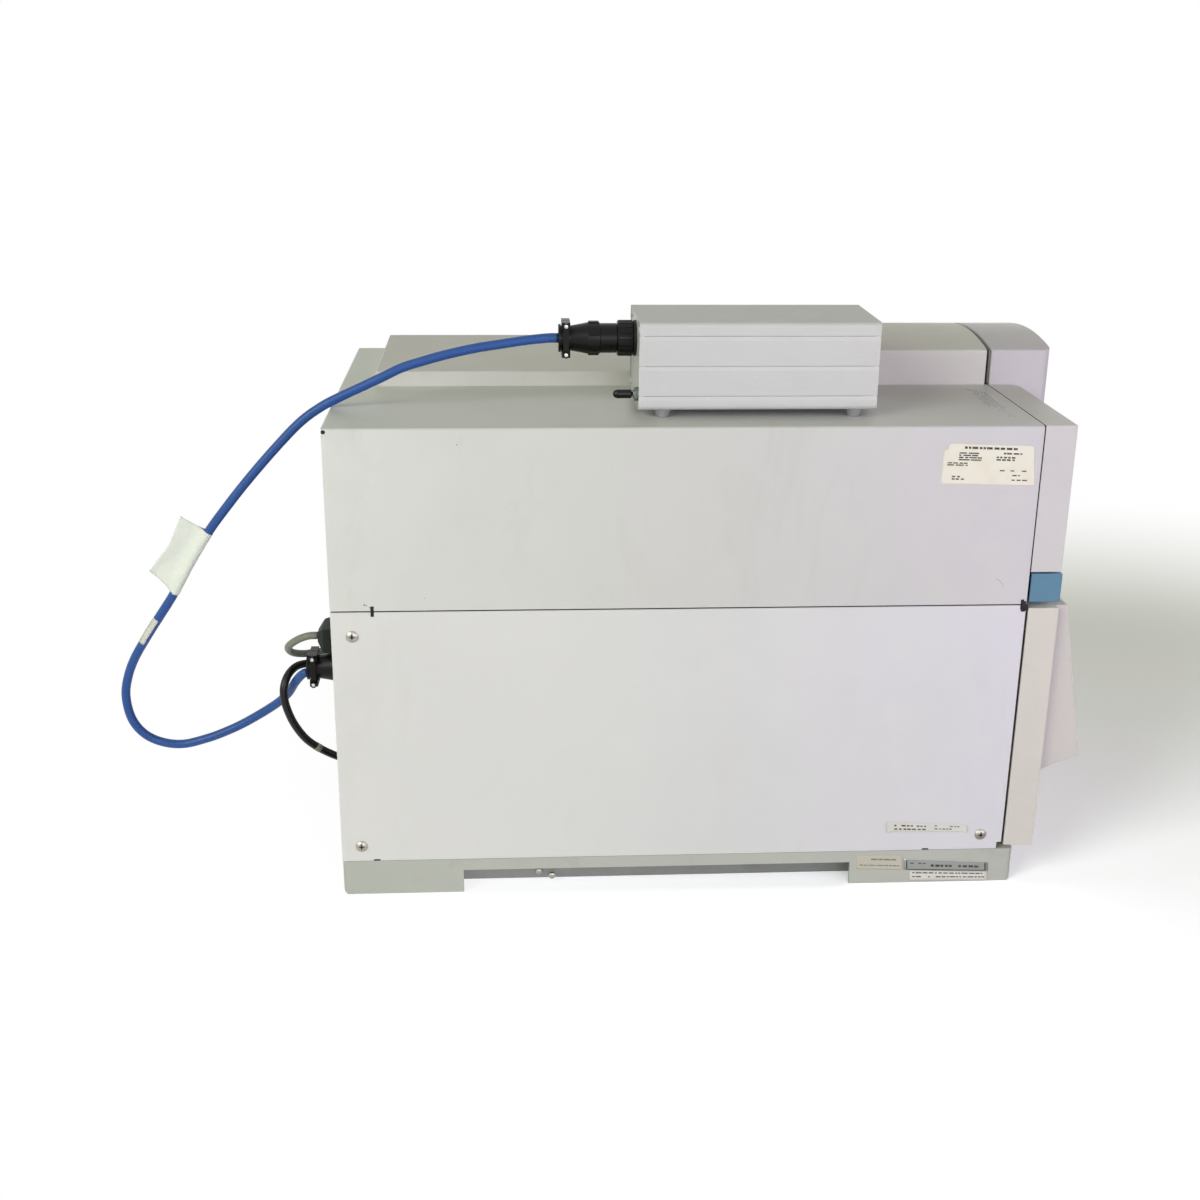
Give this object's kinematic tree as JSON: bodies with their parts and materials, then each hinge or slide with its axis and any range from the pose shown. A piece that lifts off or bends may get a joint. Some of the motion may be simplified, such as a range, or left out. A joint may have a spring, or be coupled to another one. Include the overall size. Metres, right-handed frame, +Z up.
{
  "type": "mass spectrometer",
  "caption": "Benchtop quadrupole mass spectrometer with sheet covers, front control panel, rear connectors and a gauge controller cabled on its deck.",
  "frame": {"origin": "centre of the base pan's underside, on the table", "axes": "+X towards the instrument's front, +Y towards its right side, the side with the inlet port, +Z up"},
  "size_m": [0.735, 0.3044, 0.4303],
  "materials": {
    "base_plastic": "fine moulded texture",
    "pan_steel": "satin grey",
    "zinc_steel": "zinc plated sheet",
    "cover_paint": "off-white fine texture paint with light wear",
    "screw_steel": "turned",
    "front_plastic": "fine moulded texture",
    "accent_plastic": "satin blue",
    "bezel_plastic": "aged off-white",
    "display_plastic": "dark window",
    "board_green": "solder mask",
    "black_plastic": "moulded",
    "button_plastic": "moulded",
    "key_plastic": "moulded",
    "guard_wire": "plated wire",
    "machined_aluminium": "machined",
    "rod_steel": "polished",
    "collar_ceramic": "unglazed",
    "extruded_aluminium": "clear anodised",
    "foot_rubber": "grey",
    "plug_plastic": "moulded black",
    "cable_blue": "smooth jacket",
    "hood_plastic": "moulded dark grey",
    "cable_grey": "jacket",
    "cable_black": "glossy jacket"
  },
  "bodies": {
    "mainframe": {"base_tray": "base_plastic", "base_pan": "pan_steel", "chassis": "zinc_steel", "lower_cover": "cover_paint", "lower_cover_far": "cover_paint", "upper_cover": "cover_paint", "upper_cover_far": "cover_paint", "cover_screws": "screw_steel", "front_bezel": "front_plastic", "accent_bar": "accent_plastic", "lower_bezel": "bezel_plastic", "panel_housing": "bezel_plastic", "display_window": "display_plastic", "panel_board": "board_green", "power_switch": "black_plastic", "rear_panel": "zinc_steel", "fan_guard": "guard_wire", "fan_frame": "black_plastic", "rear_sockets": "black_plastic", "gauge_receptacle": "black_plastic", "manifold": "machined_aluminium", "side_plate": "machined_aluminium", "plate_screws": "screw_steel", "quadrupole": "rod_steel", "rod_collars": "collar_ceramic", "ion_source": "rod_steel", "detector": "rod_steel", "turbo_pump": "machined_aluminium", "foreline_pipe": "rod_steel", "vent_valve": "rod_steel", "rf_box": "zinc_steel", "main_board": "board_green", "power_supply": "zinc_steel", "controller_shell": "extruded_aluminium", "controller_ends": "extruded_aluminium", "controller_feet": "foot_rubber", "controller_board": "board_green", "controller_socket": "black_plastic", "switch_bush": "screw_steel", "blue_plugs": "plug_plastic", "plug_rings": "plug_plastic", "cable_clamps": "plug_plastic", "blue_cord": "cable_blue", "data_hood": "hood_plastic", "grey_cord": "cable_grey", "black_cord": "cable_black", "lead_plugs": "plug_plastic"},
    "analyzer_lid": {"analyzer_cover": "front_plastic"},
    "window_front": {"window_cover": "front_plastic"},
    "power_key": {"power_button": "button_plastic"},
    "fan_wheel": {"fan_rotor": "black_plastic"},
    "pump_wheel": {"turbo_rotor": "machined_aluminium"},
    "vent_screw": {"vent_knob": "black_plastic"},
    "toggle": {"switch_lever": "black_plastic"},
    "panel_key_1": {"key_1": "key_plastic"},
    "panel_key_2": {"key_2": "key_plastic"},
    "panel_key_3": {"key_3": "key_plastic"},
    "panel_key_4": {"key_4": "key_plastic"},
    "panel_key_5": {"key_5": "key_plastic"},
    "panel_key_6": {"key_6": "key_plastic"}
  },
  "joints": [
    {"name": "analyzer_lid_lift", "type": "slide", "parent": "mainframe", "child": "analyzer_lid", "axis": [0, 0, 1], "range_m": [0, 0.1]},
    {"name": "window_front_pull", "type": "slide", "parent": "mainframe", "child": "window_front", "axis": [1, 0, 0], "range_m": [0, 0.08]},
    {"name": "power_key_press", "type": "slide", "parent": "mainframe", "child": "power_key", "axis": [-1, 0, 0], "range_m": [0, 0.003], "stiffness_N_per_m": 400, "springref_m": -0.002},
    {"name": "fan_spin", "type": "hinge", "parent": "mainframe", "child": "fan_wheel", "pos_m": [-0.2135, 0.066, 0.2685], "axis": [1, 0, 0], "continuous": true},
    {"name": "pump_spin", "type": "hinge", "parent": "mainframe", "child": "pump_wheel", "pos_m": [0.0425, 0.066, 0.2], "axis": [0, 0, 1], "continuous": true},
    {"name": "vent_turn", "type": "hinge", "parent": "mainframe", "child": "vent_screw", "pos_m": [0.2325, 0.066, 0.2925], "axis": [1, 0, 0], "range_deg": [0, 270]},
    {"name": "toggle_throw", "type": "hinge", "parent": "mainframe", "child": "toggle", "pos_m": [-0.0345, -0.112, 0.3775], "axis": [0, 1, 0], "range_deg": [-10, 10]},
    {"name": "panel_key_1_press", "type": "slide", "parent": "mainframe", "child": "panel_key_1", "axis": [-0.9843, 0, -0.1765], "range_m": [0, 0.001], "stiffness_N_per_m": 500, "springref_m": -0.001},
    {"name": "panel_key_2_press", "type": "slide", "parent": "mainframe", "child": "panel_key_2", "axis": [-0.9843, 0, -0.1765], "range_m": [0, 0.001], "stiffness_N_per_m": 500, "springref_m": -0.001},
    {"name": "panel_key_3_press", "type": "slide", "parent": "mainframe", "child": "panel_key_3", "axis": [-0.9843, 0, -0.1765], "range_m": [0, 0.001], "stiffness_N_per_m": 500, "springref_m": -0.001},
    {"name": "panel_key_4_press", "type": "slide", "parent": "mainframe", "child": "panel_key_4", "axis": [-0.9843, 0, -0.1765], "range_m": [0, 0.001], "stiffness_N_per_m": 500, "springref_m": -0.001},
    {"name": "panel_key_5_press", "type": "slide", "parent": "mainframe", "child": "panel_key_5", "axis": [-0.9843, 0, -0.1765], "range_m": [0, 0.001], "stiffness_N_per_m": 500, "springref_m": -0.001},
    {"name": "panel_key_6_press", "type": "slide", "parent": "mainframe", "child": "panel_key_6", "axis": [-0.9843, 0, -0.1765], "range_m": [0, 0.001], "stiffness_N_per_m": 500, "springref_m": -0.001}
  ]
}
